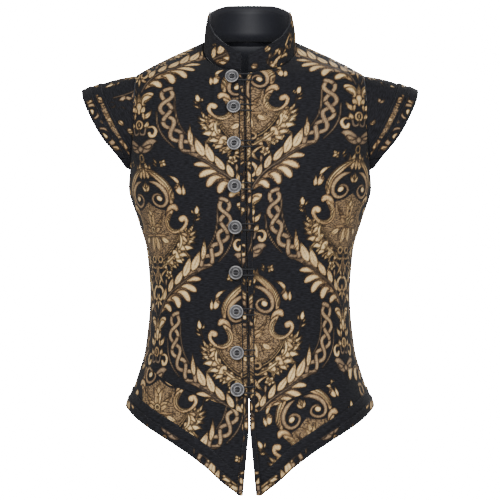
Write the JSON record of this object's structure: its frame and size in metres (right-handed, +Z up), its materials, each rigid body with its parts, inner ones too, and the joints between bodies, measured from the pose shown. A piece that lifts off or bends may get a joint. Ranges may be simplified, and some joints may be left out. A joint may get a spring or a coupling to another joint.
{
  "type": "renaissance vest",
  "caption": "Buttoned brocade vest with a standing collar, short cap sleeves and a hem cut to a point at the centre front, filled out as worn.",
  "frame": {"origin": "where the wearer's shoulders carry it: on the centre plane, level with the neck ends of the shoulder seams", "axes": "+Z up, the front faces -Y, the wearer's left is on +X"},
  "size_m": [0.5228, 0.2931, 0.7519],
  "materials": {
    "brocade": "near-black ribbed ground with a gold damask figure, soft sheen",
    "navy_rib": "ribbed, dull",
    "lining": "smooth, faint sheen",
    "pewter": "aged, satin",
    "cord": "twisted cord, dull"
  },
  "bodies": {
    "root": {"front_right": "brocade", "skirt_right": "brocade", "front_strip_right": "brocade", "hem_band_right": "brocade", "sleeve_right": "brocade", "sleeve_guard_right": "brocade", "sleeve_band_right": "brocade", "hem_guard_right": "navy_rib", "front_left": "brocade", "skirt_left": "brocade", "front_strip_left": "brocade", "hem_band_left": "brocade", "sleeve_left": "brocade", "sleeve_guard_left": "brocade", "sleeve_band_left": "brocade", "hem_guard_left": "navy_rib", "back": "brocade", "hem_band_back": "brocade", "collar": "brocade", "hem_guard_back": "navy_rib", "back_lining": "lining", "collar_lining": "lining", "button_1": "pewter", "loop_1": "cord", "button_2": "pewter", "loop_2": "cord", "button_3": "pewter", "loop_3": "cord", "button_4": "pewter", "loop_4": "cord", "button_5": "pewter", "loop_5": "cord", "button_6": "pewter", "loop_6": "cord", "button_7": "pewter", "loop_7": "cord", "button_8": "pewter", "loop_8": "cord", "button_9": "pewter", "loop_9": "cord"}
  },
  "joints": []
}
